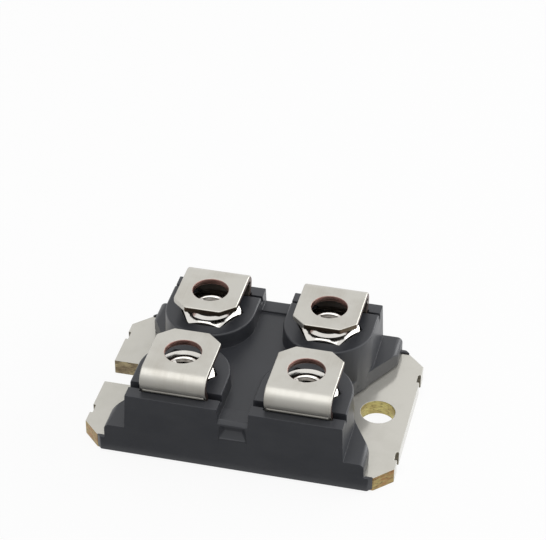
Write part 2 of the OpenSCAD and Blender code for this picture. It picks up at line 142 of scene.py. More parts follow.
class Graph:
    """Node tree of one material, with short calls to add and join nodes.

    Attributes:
        OCTAVE_SHARE: Strength of each finer octave of noise against the last.
        MIX_COLORS: Places of the two colour inputs of a Mix node.
        MIX_RESULT: Place of the colour output of a Mix node.
    """

    OCTAVE_SHARE = 0.55
    MIX_COLORS = (6, 7)
    MIX_RESULT = 2

    def __init__(self, name: str) -> None:
        """Make a material with a Principled shader.

        Args:
            name: Name of the material.
        """
        self.material = bpy.data.materials.new(name)
        self.material.use_nodes = True
        self.tree = self.material.node_tree
        self.shader = self.tree.nodes["Principled BSDF"]

    def add(self, kind: str, values: dict[str, object] | None = None, **settings: object) -> bpy.types.Node:
        """Add a node.

        Args:
            kind: Node type without its ShaderNode prefix.
            values: Values of unlinked input sockets, by socket name.
            settings: Properties of the node itself.

        Returns:
            The new node.
        """
        node = self.tree.nodes.new("ShaderNode" + kind)
        for key, value in settings.items():
            setattr(node, key, value)
        for key, value in (values or {}).items():
            node.inputs[key].default_value = value
        return node

    def join(self, source: Socket, target: Socket) -> None:
        """Link an output socket to an input socket."""
        self.tree.links.new(source, target)

    def noise(self, grain_mm: Triple, detail: float = 3.0, offset: Triple = (0.0, 0.0, 0.0)) -> Socket:
        """Noise on Object coordinates.

        Args:
            grain_mm: Size of a blotch along X, Y and Z, in millimetres.
            detail: Octaves of finer noise.
            offset: Shift of the pattern, in blotches.

        Returns:
            The noise value, around one half.
        """
        place = self.add("TexCoord")
        scale = tuple(1 / (size * MM) for size in grain_mm)
        fit = self.add("Mapping", {"Scale": scale, "Location": offset})
        noise = self.add("TexNoise", {"Scale": 1.0, "Detail": detail, "Roughness": self.OCTAVE_SHARE})
        self.join(place.outputs["Object"], fit.inputs["Vector"])
        self.join(fit.outputs["Vector"], noise.inputs["Vector"])
        return noise.outputs["Fac"]

    def spread(
        self, value: Socket, low: float = 0.0, high: float = 1.0, start: float = 0.3, end: float = 0.7,
    ) -> Socket:
        """Map a noise value to a range.

        Args:
            value: Socket of the noise.
            low: Result at start.
            high: Result at end.
            start: Noise value that gives low.
            end: Noise value that gives high.

        Returns:
            Socket of the mapped value.
        """
        fit = self.add("MapRange", {"From Min": start, "From Max": end, "To Min": low, "To Max": high})
        self.join(value, fit.inputs["Value"])
        return fit.outputs["Result"]

    def vary(self, value: Socket, middle: float, either_way: float) -> Socket:
        """Map a noise value to a range about a middle."""
        return self.spread(value, middle - either_way, middle + either_way)

    def times(self, first: Socket, second: Socket | float) -> Socket:
        """Multiply two values.

        Args:
            first: Socket of a value.
            second: Socket of a value, or a number.

        Returns:
            Socket of the product.
        """
        node = self.add("Math", operation="MULTIPLY")
        self.join(first, node.inputs[0])
        if isinstance(second, Socket):
            self.join(second, node.inputs[1])
        else:
            node.inputs[1].default_value = second
        return node.outputs[0]

    def blend(self, amount: Socket, first: Color | Socket, second: Color | Socket) -> Socket:
        """Mix two colours.

        Args:
            amount: Socket of the share of the second colour.
            first: Colour, or socket of one.
            second: Colour, or socket of one.

        Returns:
            Socket of the mixed colour.
        """
        mix = self.add("Mix", data_type="RGBA")
        self.join(amount, mix.inputs["Factor"])
        for place, color in zip(self.MIX_COLORS, (first, second)):
            if isinstance(color, tuple):
                mix.inputs[place].default_value = (*color, 1.0)
            else:
                self.join(color, mix.inputs[place])
        return mix.outputs[self.MIX_RESULT]

    def bump(self, height: Socket, depth_mm: float) -> Socket:
        """Bump from a height value.

        Args:
            height: Socket of the height, from 0 to 1.
            depth_mm: Depth of the relief in millimetres.

        Returns:
            Socket of the normal.
        """
        node = self.add("Bump", {"Strength": 1.0, "Distance": depth_mm * MM})
        self.join(height, node.inputs["Height"])
        return node.outputs["Normal"]

    def set(self, **values: float | Color | Socket) -> bpy.types.Material:
        """Set or link inputs of the Principled shader.

        Args:
            values: Number, colour or socket by input name, with underscores for spaces.

        Returns:
            The material.
        """
        for key, value in values.items():
            socket = self.shader.inputs[key.replace("_", " ")]
            if isinstance(value, Socket):
                self.join(value, socket)
            elif isinstance(value, tuple):
                socket.default_value = (*value, 1.0)
            else:
                socket.default_value = value
        return self.material

    def surface(self, shader: bpy.types.Node) -> bpy.types.Material:
        """Use another shader in place of the Principled one.

        Args:
            shader: Node of the shader.

        Returns:
            The material.
        """
        self.tree.nodes.remove(self.shader)
        self.join(shader.outputs[0], self.tree.nodes["Material Output"].inputs["Surface"])
        return self.material


@dataclass(frozen=True)
class MouldedPlastic:
    """Dark glass-filled plastic with a fine matt skin.

    Attributes:
        flow_squash: How many times lower than wide the flow marks are.
    """

    color: Color = (0.031, 0.033, 0.039)
    pale: Color = (0.038, 0.04, 0.046)
    roughness: float = 0.38
    shine: float = 0.46
    roughness_spread: float = 0.05
    skin_mm: float = 0.16
    skin_depth_mm: float = 0.006
    flow_mm: float = 5.0
    flow_squash: float = 2.0

    def material(self) -> bpy.types.Material:
        """Make the material, with flow marks, skin grain and uneven gloss.

        Returns:
            The material.
        """
        graph = Graph("moulded_plastic")
        flow = graph.noise((self.flow_mm, self.flow_mm, self.flow_mm / self.flow_squash))
        skin = graph.noise((self.skin_mm,) * 3, detail=2.0)
        return graph.set(
            Base_Color=graph.blend(graph.spread(flow), self.color, self.pale),
            Roughness=graph.vary(flow, self.roughness, self.roughness_spread),
            Specular_IOR_Level=self.shine,
            Normal=graph.bump(skin, self.skin_depth_mm),
        )


@dataclass(frozen=True)
class PlatedMetal:
    """Nickel plate with fine lines along X, or across it, and faint stains.

    Attributes:
        line_floor: Share of the stains that the fine lines leave at least.
        stain_from: Noise value at which a stain starts.
        stain_full: Noise value at which a stain is full.
        metallic: Share of mirror-like metal, where the rest scatters light.
    """

    name: str
    color: Color
    stain: Color
    roughness: float
    roughness_spread: float = 0.025
    line_length_mm: float = 9.0
    line_width_mm: float = 0.07
    line_depth_mm: float = 0.0003
    lines_across: bool = False
    line_floor: float = 0.6
    stain_mm: float = 3.5
    stain_from: float = 0.45
    stain_full: float = 0.8
    metallic: float = 1.0

    def material(self) -> bpy.types.Material:
        """Make the material, with fine lines in its relief, gloss and colour.

        Returns:
            The material.
        """
        graph = Graph(self.name)
        length, width = self.line_length_mm, self.line_width_mm
        grain = (width, length, length) if self.lines_across else (length, width, width)
        lines = graph.noise(grain, detail=2.0)
        patches = graph.noise((self.stain_mm,) * 3, detail=4.0)
        stains = graph.spread(patches, start=self.stain_from, end=self.stain_full)
        share = graph.times(graph.spread(lines, low=self.line_floor), stains)
        return graph.set(
            Base_Color=graph.blend(share, self.color, self.stain),
            Metallic=self.metallic,
            Roughness=graph.vary(lines, self.roughness, self.roughness_spread),
            Normal=graph.bump(lines, self.line_depth_mm),
        )


@dataclass(frozen=True)
class ShearedMetal:
    """Bare copper alloy on a sheared or punched edge, with shear marks down the cut.

    Attributes:
        mark_stretch: How many times higher than wide the shear marks are.
        tone_squash: How many times lower than wide the patches of tone are.
        tone_from: Noise value below which the tone is plain.
        tone_full: Noise value above which the tone is warm.
        pit_squash: How many times lower than wide the pits are.
        pit_from: Noise value at which a pit starts.
        pit_full: Noise value at which a pit is darkest.
        pit_offset: Shift of the pits against the patches, in pits.
    """

    name: str
    color: Color
    warm: Color
    roughness: float = 0.42
    roughness_spread: float = 0.1
    mark_mm: float = 0.12
    mark_stretch: float = 8.0
    mark_depth_mm: float = 0.01
    tone_mm: float = 1.6
    tone_squash: float = 3.0
    tone_from: float = 0.38
    tone_full: float = 0.62
    pit: Color = (0.05, 0.038, 0.025)
    pit_mm: float = 0.5
    pit_squash: float = 5.0
    pit_share: float = 0.7
    pit_from: float = 0.52
    pit_full: float = 0.66
    pit_offset: Triple = (3.0, 5.0, 7.0)

    def material(self) -> bpy.types.Material:
        """Make the material, with shear marks, patches of two copper tones and dark pits.

        Returns:
            The material.
        """
        graph = Graph(self.name)
        marks = graph.noise((self.mark_mm, self.mark_mm, self.mark_mm * self.mark_stretch))
        tone = graph.noise((self.tone_mm, self.tone_mm, self.tone_mm / self.tone_squash), detail=4.0)
        pits = graph.noise((self.pit_mm, self.pit_mm, self.pit_mm / self.pit_squash), offset=self.pit_offset)
        warmth = graph.spread(tone, start=self.tone_from, end=self.tone_full)
        dirt = graph.spread(pits, high=self.pit_share, start=self.pit_from, end=self.pit_full)
        return graph.set(
            Base_Color=graph.blend(dirt, graph.blend(warmth, self.color, self.warm), self.pit),
            Metallic=1.0,
            Roughness=graph.vary(marks, self.roughness, self.roughness_spread),
            Normal=graph.bump(marks, self.mark_depth_mm),
        )


@dataclass(frozen=True)
class InnerLayer:
    """A layer sealed inside the case."""

    name: str
    color: Color
    dark: Color
    roughness: float
    metallic: float = 0.0
    alpha: float = 1.0
    grain_mm: float = 0.5

    def material(self) -> bpy.types.Material:
        """Make the material, with a faint mottle.

        Returns:
            The material.
        """
        graph = Graph(self.name)
        mottle = graph.noise((self.grain_mm,) * 3)
        return graph.set(
            Base_Color=graph.blend(graph.spread(mottle), self.color, self.dark),
            Metallic=self.metallic,
            Roughness=self.roughness,
            Alpha=self.alpha,
        )


class Bench:
    """The modelling operators, each on one piece at a time.

    Attributes:
        MERGE: Distance within which points are one, in metres.
        FLAT: Angle between faces up to which they are one flat.
        CREASE: Angle between faces from which their edge is rounded.
        SMOOTH: Angle between faces up to which they are shaded as one.
        LEVEL: Upward part of a normal from which a face is level.
        FLAT_WEIGHT: Pull of large faces on the shading, where 50 is none.
    """

    MERGE = 0.002 * MM
    FLAT = math.radians(0.6)
    CREASE = math.radians(26)
    SMOOTH = math.radians(38)
    LEVEL = 0.9999
    FLAT_WEIGHT = 80

    @staticmethod
    def take(piece: Piece) -> None:
        """Deselect everything, then select one piece and make it active.

        Args:
            piece: Piece to select.
        """
        bpy.ops.object.select_all(action="DESELECT")
        piece.select_set(True)
        bpy.context.view_layer.objects.active = piece

    @classmethod
    def eased_copy(cls, node: str, name: str, width_mm: float, segments: int) -> Piece:
        """Copy a CAD node as one welded mesh of flat faces, and round its creases.

        Args:
            node: Name of the CAD node.
            name: Name of the new piece.
            width_mm: Width of the rounding in millimetres.
            segments: Steps across the rounding.

        Returns:
            The new piece, without a material.
        """
        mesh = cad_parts[node].data.copy()
        mesh.name = name
        mesh.materials.clear()
        piece = bpy.data.objects.new(name, mesh)
        bpy.context.scene.collection.objects.link(piece)
        cls.take(piece)
        bpy.ops.mesh.customdata_custom_splitnormals_clear()
        bpy.ops.object.mode_set(mode="EDIT")
        bpy.ops.mesh.select_all(action="SELECT")
        bpy.ops.mesh.remove_doubles(threshold=cls.MERGE)
        bpy.ops.mesh.dissolve_limited(angle_limit=cls.FLAT)
        bpy.ops.object.mode_set(mode="OBJECT")
        cls.apply(
            piece, "BEVEL", width=width_mm * MM, segments=segments, limit_method="ANGLE",
            angle_limit=cls.CREASE, use_clamp_overlap=False,
        )
        return piece

    @classmethod
    def apply(cls, piece: Piece, kind: str, **settings: object) -> None:
        """Add a modifier to a piece and apply it.

        Args:
            piece: Piece to change.
            kind: Type of the modifier.
            settings: Properties of the modifier.
        """
        cls.take(piece)
        modifier = piece.modifiers.new(kind.lower(), kind)
        for key, value in settings.items():
            setattr(modifier, key, value)
        bpy.ops.object.modifier_apply(modifier=modifier.name)

    @classmethod
    def join_tool(cls, piece: Piece, tool: Piece, operation: str) -> None:
        """Add a tool's solid to a piece or cut it away, and remove the tool.

        Args:
            piece: Piece to change.
            tool: Closed solid.
            operation: UNION or DIFFERENCE.
        """
        cls.apply(piece, "BOOLEAN", operation=operation, object=tool, solver="MANIFOLD")
        bpy.data.objects.remove(tool)

    @classmethod
    def smooth(cls, piece: Piece, level_flat: bool = False) -> None:
        """Shade round stretches smooth and keep the flats flat.

        Args:
            piece: Piece to shade.
            level_flat: Whether level faces stay flat where they run into a rounding.
        """
        cls.take(piece)
        bpy.ops.object.shade_smooth_by_angle(angle=cls.SMOOTH)
        if level_flat:
            for face in piece.data.polygons:
                face.use_smooth = abs(face.normal.z) < cls.LEVEL
        cls.apply(piece, "WEIGHTED_NORMAL", keep_sharp=True, weight=cls.FLAT_WEIGHT)

    @staticmethod
    def paint(piece: Piece, materials: list[bpy.types.Material], rule: FaceRule) -> None:
        """Give each face one of several materials.

        Args:
            piece: Piece to paint.
            materials: Materials of the piece.
            rule: Gives the place of a face's material from its centre and normal.
        """
        piece.data.materials.clear()
        for material in materials:
            piece.data.materials.append(material)
        for face in piece.data.polygons:
            face.material_index = rule(face.center, face.normal)

    @staticmethod
    def sheet(name: str, place: Triple, size: tuple[float, float], tilt: float = 0.0) -> Piece:
        """Make a flat sheet for the studio.

        Args:
            name: Name of the sheet.
            place: Middle of the sheet, in metres.
            size: Width and depth, in metres.
            tilt: Turn about X, in degrees.

        Returns:
            The sheet, without a material.
        """
        bpy.ops.object.select_all(action="DESELECT")
        bpy.ops.mesh.primitive_plane_add(size=1.0, location=place, rotation=(math.radians(tilt), 0, 0))
        sheet = bpy.context.object
        sheet.name = name
        sheet.scale = (*size, 1.0)
        bpy.ops.object.transform_apply(location=True, rotation=True, scale=True)
        return sheet

    @staticmethod
    def seat(piece: Piece, node: str, slot: Slot) -> None:
        """Let a piece stand for a CAD node.

        Args:
            piece: Finished piece.
            node: CAD node that it replaces.
            slot: Material slot of the record, which is not used.
        """
        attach(piece, BODY)
        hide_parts(node)
        LOG.info("%s stands for %s, %d faces", piece.name, node, len(piece.data.polygons))


@dataclass
class Housing:
    """Moulded case with its posts, slots and pockets."""

    edge_mm: float = 0.1
    edge_steps: int = 2
    plastic: MouldedPlastic = MouldedPlastic()

    def build(self) -> Piece:
        """Copy the case and round its edges.

        Returns:
            The new piece.
        """
        piece = Bench.eased_copy("housing", "moulded_case", self.edge_mm, self.edge_steps)
        Bench.smooth(piece)
        return piece

    def dress(self, piece: Piece) -> None:
        """Give the case its plastic and its place."""
        piece.data.materials.append(self.plastic.material())
        Bench.seat(piece, "housing", Slot.CASE)


@dataclass
class BasePlate:
    """Plated base with bare sheared edges.

    Attributes:
        side_slope: Upward part of a normal up to which a face is a cut edge.
        end_lead: How much more an end's normal runs along X than along Y.
        end_band_mm: Depth of the plated ends.
        notch_band_mm: Depth of the tie-bar notches.
        hole_reach_mm: Distance from the middle line within which a cut is the hole or the slot.
        corner_y_mm: Distance from the middle line from which a cut is a sheared corner.
    """

    edge_mm: float = 0.09
    edge_steps: int = 2
    side_slope: float = 0.6
    end_lead: float = 0.5
    end_band_mm: float = 0.2
    notch_band_mm: float = 0.7
    hole_reach_mm: float = 3.0
    corner_y_mm: float = 9.0
    plate: PlatedMetal = PlatedMetal(
        "plated_base", (0.627, 0.61, 0.556), (0.545, 0.529, 0.474), 0.15,
        roughness_spread=0.015, line_depth_mm=0.0001, metallic=0.55,
    )
    hole: ShearedMetal = ShearedMetal("punched_base_hole", (0.58, 0.52, 0.21), (0.42, 0.33, 0.13))
    slot: ShearedMetal = ShearedMetal("punched_base_slot", (0.18, 0.14, 0.09), (0.36, 0.3, 0.18))
    corner: ShearedMetal = ShearedMetal("sheared_base_corner", (0.42, 0.34, 0.15), (0.36, 0.2, 0.09))
    notch: ShearedMetal = ShearedMetal("sheared_tie_bar", (0.13, 0.12, 0.1), (0.2, 0.18, 0.13))

    def build(self) -> Piece:
        """Copy the plate and break its edges.

        Returns:
            The new piece.
        """
        piece = Bench.eased_copy("base_plate", "plated_base_plate", self.edge_mm, self.edge_steps)
        Bench.smooth(piece)
        return piece

    def face_rule(self, centre: Vector, normal: Vector) -> int:
        """Plate on the faces and the ends, bare metal of four tones on the other cut edges.

        Args:
            centre: Centre of a face.
            normal: Its normal.

        Returns:
            Kind of the face.
        """
        if abs(normal.z) > self.side_slope:
            return BaseFace.PLATE
        depth = CAD_HIGH.x - abs(centre.x)
        if depth < self.end_band_mm * MM and abs(normal.x) > abs(normal.y) + self.end_lead:
            return BaseFace.PLATE
        if abs(centre.y) > self.corner_y_mm * MM:
            return BaseFace.CORNER
        if abs(centre.y) < self.hole_reach_mm * MM:
            return BaseFace.HOLE if centre.x > 0 else BaseFace.SLOT
        return BaseFace.NOTCH if depth < self.notch_band_mm * MM else BaseFace.CORNER

    def dress(self, piece: Piece) -> None:
        """Paint the plate and put it in its place.

        Args:
            piece: The plate.
        """
        finishes = (self.plate, self.hole, self.slot, self.corner, self.notch)
        Bench.paint(piece, [finish.material() for finish in finishes], self.face_rule)
        Bench.seat(piece, "base_plate", Slot.BASE)


@dataclass
class Terminals:
    """The four bent strips with their punched holes.

    Attributes:
        upright: Outward part of a normal from which a face is a cut end or a corner.
        side: Part of a normal along X from which a face is a side.
        rim: Upward part of a normal up to which a face by the hole is its wall.
        lip_short_mm: How much shorter than the strip is wide the lip is.
        lip_bevel: Rounding of the lip's ends, as a share of its radius.
        lip_depth_mm: Depth of the lip's axis behind the front of the bend.
        lip_drop_mm: Depth of the lip's axis below the top of the tab.
    """

    edge_mm: float = 0.16
    edge_steps: int = 3
    hole_r_mm: float = 2.2
    upright: float = 0.5
    side: float = 0.8
    rim: float = 0.75
    strip_t_mm: float = 0.8
    lip_r_mm: float = 0.25
    lip_steps: int = 24
    lip_short_mm: float = 0.5
    lip_bevel: float = 0.5
    lip_depth_mm: float = 0.57
    lip_drop_mm: float = 2.81
    plate: PlatedMetal = PlatedMetal(
        "plated_terminal", (0.574, 0.559, 0.513), (0.465, 0.441, 0.389), 0.36,
        roughness_spread=0.07, line_width_mm=0.14, line_depth_mm=0.0006, lines_across=True, metallic=0.78,
    )
    hole_cut: ShearedMetal = ShearedMetal(
        "punched_hole", (0.3, 0.165, 0.145), (0.22, 0.14, 0.12), pit_share=0.3,
    )
    end_cut: ShearedMetal = ShearedMetal(
        "sheared_tab_end", (0.14, 0.115, 0.08), (0.13, 0.09, 0.065), pit_share=0.4,
    )
    # Painted shade: the inner faces under the tab get a near-black finish, because they lie in shade.
    inner: ShearedMetal = ShearedMetal(
        "painted_shade_inner_face", (0.06, 0.053, 0.047), (0.045, 0.04, 0.036), roughness=0.5,
    )
    # Bare sheared metal on the sides of the bend, painted darker there as shade; the sides on the tab keep
    # the plate.
    bend_side: ShearedMetal = ShearedMetal("sheared_bend_side_shade", (0.17, 0.11, 0.1), (0.12, 0.085, 0.075))

    def build(self, corner: Corner) -> Piece:
        """Copy one strip and round its edges.

        Args:
            corner: Place of the terminal.

        Returns:
            The new piece.
        """
        piece = Bench.eased_copy(corner.terminal_node, corner.strip_name, self.edge_mm, self.edge_steps)
        self.add_lip(piece, corner)
        Bench.smooth(piece)
        return piece

    def add_lip(self, piece: Piece, corner: Corner) -> None:
        """Add the rolled lip along the foot of the bend, where the leg leaves the case.

        Args:
            piece: Strip with rounded edges.
            corner: Place of the terminal.
        """
        low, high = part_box(corner.terminal_node)
        lip_r = self.lip_r_mm * MM
        side = math.copysign(1.0, low.y + high.y)
        foot_y = max(abs(low.y), abs(high.y)) - self.lip_depth_mm * MM
        place = ((low.x + high.x) / 2, side * foot_y, high.z - self.lip_drop_mm * MM)
        bpy.ops.object.select_all(action="DESELECT")
        bpy.ops.mesh.primitive_cylinder_add(
            vertices=self.lip_steps, radius=lip_r, depth=high.x - low.x - self.lip_short_mm * MM,
            location=place, rotation=(0, math.pi / 2, 0),
        )
        lip = bpy.context.object
        bpy.ops.object.transform_apply(location=True, rotation=True, scale=True)
        bpy.ops.object.mode_set(mode="EDIT")
        bpy.ops.mesh.select_all(action="DESELECT")
        bpy.ops.mesh.select_mode(type="FACE")
        bpy.ops.object.mode_set(mode="OBJECT")
        for face in lip.data.polygons:
            face.select = abs(face.normal.x) > self.side
        bpy.ops.object.mode_set(mode="EDIT")
        bpy.ops.mesh.bevel(offset=lip_r * self.lip_bevel, segments=self.edge_steps, affect="EDGES")
        bpy.ops.object.mode_set(mode="OBJECT")
        Bench.join_tool(piece, lip, "UNION")

    def face_rule(self, corner: Corner) -> FaceRule:
        """Rule for the bare metal of one strip, and for the painted shade on its inner faces and on the sides
        of its bend.

        Args:
            corner: Place of the terminal.

        Returns:
            Rule that gives the kind of each face.
        """
        low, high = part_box(corner.nut_node)
        axis = (low + high) / 2
        under_tab = CAD_HIGH.z - self.strip_t_mm * MM
        bend_y = abs(axis.y) + (high.y - low.y) / 2
        inner_y = max(abs(end.y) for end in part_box(corner.terminal_node)) - self.strip_t_mm * MM
        reach = (self.hole_r_mm + self.edge_mm) * MM

        def rule(centre: Vector, normal: Vector) -> int:
            """Kind of one face, by its place on the strip and the way it points.

            Args:
                centre: Centre of the face.
                normal: Its normal.

            Returns:
                Kind of the face.
            """
            outward = math.copysign(normal.y, normal.y * axis.y)
            on_tab = centre.z > under_tab - self.edge_mm * MM
            if on_tab and (centre - axis).xy.length < reach and abs(normal.z) < self.rim:
                return StripFace.HOLE
            if abs(normal.x) > self.side:
                # Sides on the bend get the sheared finish painted darker as shade; sides on the tab stay
                # plate.
                on_bend = abs(centre.y) > bend_y and centre.z < under_tab
                return StripFace.SIDE if on_bend else StripFace.PLATE
            # Faces under the tab that turn inwards get the painted shade of the inner finish.
            if centre.z < under_tab + self.edge_mm * MM / 2:
                inner = outward < self.upright and abs(centre.y) < inner_y
                return StripFace.INNER_SHADE if inner else StripFace.PLATE
            left_corner = normal.x < -self.upright
            cut = outward < -self.upright and abs(normal.z) < self.upright
            return StripFace.END if cut and not left_corner else StripFace.PLATE

        return rule

    def dress(self, pieces: dict[Corner, Piece]) -> None:
        """Paint the strips and put them in their places.

        Args:
            pieces: The strips by corner.
        """
        finishes = (self.plate, self.hole_cut, self.end_cut, self.inner, self.bend_side)
        materials = [finish.material() for finish in finishes]
        for corner, piece in pieces.items():
            Bench.paint(piece, materials, self.face_rule(corner))
            Bench.seat(piece, corner.terminal_node, Slot.TERMINAL)


@dataclass
class Nuts:
    """The four captive nuts with their threads.

    Attributes:
        flank_mm: Half the height of the thread's groove at the crest.
        run_out_mm: How far the cutting tools reach past the faces.
        thread_reach_mm: Distance from the axis within which a face is in the bore.
        sink_mm: Depth of the countersinks.
        mouth_mm: Length of the rounding on either side of a countersink's rim.
        slack_mm: How much wider than the solid's the bore is cut.
        lift_mm: How far the rounding ends above a face, so that it cuts clean.
        core_r_mm: Inner radius of the ring that cuts the bore.
    """

    edge_mm: float = 0.05
    edge_steps: int = 2
    crest_r_mm: float = 1.65
    root_r_mm: float = 2.03
    pitch_mm: float = 0.7
    flank_mm: float = 0.3
    run_out_mm: float = 0.9
    turn_steps: int = 40
    thread_reach_mm: float = 2.06
    sink_mm: float = 0.4
    mouth_mm: float = 0.46
    mouth_steps: int = 6
    slack_mm: float = 0.03
    lift_mm: float = 0.01
    core_r_mm: float = 0.5
    finish: PlatedMetal = PlatedMetal(
        "bright_nickel", (0.74, 0.72, 0.68), (0.6, 0.57, 0.52), 0.13,
        line_length_mm=0.6, line_width_mm=0.2, line_depth_mm=0.0005,
    )
    # Cut thread, its colour painted darker as the shade in the bore's grooves.
    thread: ShearedMetal = ShearedMetal(
        "cut_thread_painted_shade", (0.16, 0.15, 0.135), (0.1, 0.09, 0.08), roughness=0.3, pit_share=0.5,
    )

    def bore_section(self, half_mm: float) -> Section:
        """Section of the tool that cuts the bore and rounds its countersinks into the faces.

        The countersinks slope at 45 degrees, so the rounding turns by an eighth of a circle.

        Args:
            half_mm: Half the thickness of the nut.

        Returns:
            Radius and height of each point of the closed section, in millimetres.
        """
        bore_r = self.crest_r_mm + self.slack_mm
        face_z = half_mm + self.lift_mm
        top_z = half_mm + self.run_out_mm
        round_r = self.mouth_mm / math.tan(math.pi / 8)
        rim_r = bore_r + self.sink_mm + self.mouth_mm
        upper = [(bore_r, face_z - self.sink_mm)]
        for step in range(self.mouth_steps + 1):
            turn = math.pi * (3 - step / self.mouth_steps) / 4
            upper.append((rim_r + round_r * math.cos(turn), face_z - round_r + round_r * math.sin(turn)))
        upper += [(rim_r, top_z), (self.core_r_mm, top_z)]
        return [(radius, -height) for radius, height in reversed(upper)] + upper

    def spun(self, section: Section, place: Vector, pitch_mm: float = 0.0, turns: int = 1) -> Piece:
        """Spin a closed section round the axis of a nut.

        A ring starts half a step round from a coil, so that their edges never meet.

        Args:
            section: Radius and height of each point, in millimetres.
            place: Origin of the section, on the axis.
            pitch_mm: Rise of a coil in each turn, or 0 for a ring.
            turns: Number of turns.

        Returns:
            The closed solid.
        """
        start = 0.0 if pitch_mm else math.pi / self.turn_steps
        bpy.ops.object.select_all(action="DESELECT")
        bpy.ops.mesh.primitive_circle_add(vertices=len(section), location=place, rotation=(0, 0, start))
        tool = bpy.context.object
        for vertex, (radius, height) in zip(tool.data.vertices, section):
            vertex.co = Vector((radius, 0, height)) * MM
        Bench.apply(
            tool, "SCREW", axis="Z", screw_offset=pitch_mm * MM, iterations=turns, steps=self.turn_steps,
            render_steps=self.turn_steps, use_merge_vertices=pitch_mm == 0, merge_threshold=Bench.MERGE,
        )
        bpy.ops.object.transform_apply(location=True, rotation=True, scale=True)
        bpy.ops.object.mode_set(mode="EDIT")
        bpy.ops.mesh.select_mode(type="EDGE")
        bpy.ops.mesh.select_all(action="DESELECT")
        if pitch_mm:
            bpy.ops.mesh.select_non_manifold()
            bpy.ops.mesh.edge_face_add()
        bpy.ops.mesh.select_all(action="SELECT")
        bpy.ops.mesh.normals_make_consistent(inside=False)
        bpy.ops.object.mode_set(mode="OBJECT")
        return tool

    def cut_bore(self, nut: Piece, low: Vector, high: Vector) -> None:
        """Cut the bore with its rounded mouths, then the thread.

        Args:
            nut: Nut with broken edges.
            low: Lowest corner of the nut.
            high: Highest corner of the nut.
        """
        axis = (low + high) / 2
        depth_mm = (high.z - low.z) / MM
        inner_r = self.crest_r_mm - self.slack_mm
        thread = [(self.root_r_mm, 0.0), (inner_r, self.flank_mm), (inner_r, -self.flank_mm)]
        turns = round((depth_mm + 2 * self.run_out_mm) / self.pitch_mm)
        start = Vector((axis.x, axis.y, low.z - self.run_out_mm * MM))
        Bench.join_tool(nut, self.spun(self.bore_section(depth_mm / 2), axis), "DIFFERENCE")
        Bench.join_tool(nut, self.spun(thread, start, self.pitch_mm, turns), "DIFFERENCE")

    def build(self) -> dict[Corner, Piece]:
        """Thread one nut and copy it to the other corners.

        Returns:
            The nuts by corner.
        """
        first = Corner.DRAIN
        low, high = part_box(first.nut_node)
        nut = Bench.eased_copy(first.nut_node, first.threaded_name, self.edge_mm, self.edge_steps)
        self.cut_bore(nut, low, high)
        Bench.smooth(nut, level_flat=True)
        nuts = {first: nut}
        for corner in Corner:
            if corner is not first:
                nuts[corner] = self.copy_to(nut, corner, low)
        return nuts

    @staticmethod
    def copy_to(nut: Piece, corner: Corner, low: Vector) -> Piece:
        """Copy a nut to another corner.

        Args:
            nut: Finished nut.
            corner: Place of the copy.
            low: Lowest corner of the finished nut.

        Returns:
            The copy, with its own mesh.
        """
        twin = bpy.data.objects.new(corner.threaded_name, nut.data.copy())
        twin.data.transform(Matrix.Translation(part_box(corner.nut_node)[0] - low))
        bpy.context.scene.collection.objects.link(twin)
        return twin

    def face_rule(self, corner: Corner) -> FaceRule:
        """Rule for the cut metal of one nut.

        Args:
            corner: Place of the nut.

        Returns:
            Rule that gives the kind of each face.
        """
        low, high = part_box(corner.nut_node)
        axis = (low + high) / 2

        def rule(centre: Vector, normal: Vector) -> int:
            """Cut metal, painted darker as shade in the grooves, in the bore below the countersinks; plate
            elsewhere.

            Args:
                centre: Centre of the face.
                normal: Its normal, which isn't needed here.

            Returns:
                Kind of the face.
            """
            below_sink = min(centre.z - low.z, high.z - centre.z) > self.sink_mm * MM
            in_bore = (centre - axis).xy.length < self.thread_reach_mm * MM
            return NutFace.THREAD if below_sink and in_bore else NutFace.PLATE

        return rule

    def dress(self, nuts: dict[Corner, Piece]) -> None:
        """Give the nuts their plate and their places.

        Args:
            nuts: The nuts by corner.
        """
        materials = [self.finish.material(), self.thread.material()]
        for corner, nut in nuts.items():
            Bench.paint(nut, materials, self.face_rule(corner))
            Bench.seat(nut, corner.nut_node, Slot.NUT)


@dataclass
class SealedStack:
    """Layers, chip, wires and gel inside the case."""

    adhesive: InnerLayer = InnerLayer("cured_adhesive", (0.03, 0.03, 0.033), (0.02, 0.02, 0.022), 0.5)
    solder: InnerLayer = InnerLayer("dull_solder", (0.5, 0.5, 0.51), (0.4, 0.4, 0.42), 0.45, metallic=1.0)
    copper: InnerLayer = InnerLayer("bare_copper", (0.62, 0.27, 0.13), (0.5, 0.2, 0.1), 0.35, metallic=1.0)
    ceramic: InnerLayer = InnerLayer("white_ceramic", (0.82, 0.81, 0.77), (0.76, 0.75, 0.71), 0.5)
    silicon: InnerLayer = InnerLayer("polished_silicon", (0.1, 0.11, 0.14), (0.08, 0.09, 0.11), 0.12)
    wire: InnerLayer = InnerLayer("drawn_aluminium", (0.8, 0.8, 0.81), (0.7, 0.7, 0.72), 0.3, metallic=1.0)
    gel: InnerLayer = InnerLayer("clear_gel", (0.82, 0.87, 0.9), (0.78, 0.84, 0.88), 0.15, alpha=0.4)

    def dress(self) -> None:
        """Give each sealed CAD node its material."""
        finishes = {
            self.adhesive: ("case_adhesive",),
            self.solder: ("substrate_solder", "die_solder", "foot_solder"),
            self.copper: ("substrate_base_copper", "drain_pad", "source_pad", "gate_pad", "source_sense_pad"),
            self.ceramic: ("substrate_ceramic",),
            self.silicon: ("mosfet_die",),
            self.wire: ("source_bond_wires", "gate_bond_wire", "source_sense_bond_wire"),
            self.gel: ("silicone_gel",),
        }
        for finish, nodes in finishes.items():
            material = finish.material()
            for node in nodes:
                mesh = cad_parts[node].data
                mesh.materials.clear()
                mesh.materials.append(material)
                LOG.info("%s keeps its solid, in %s", node, finish.name)


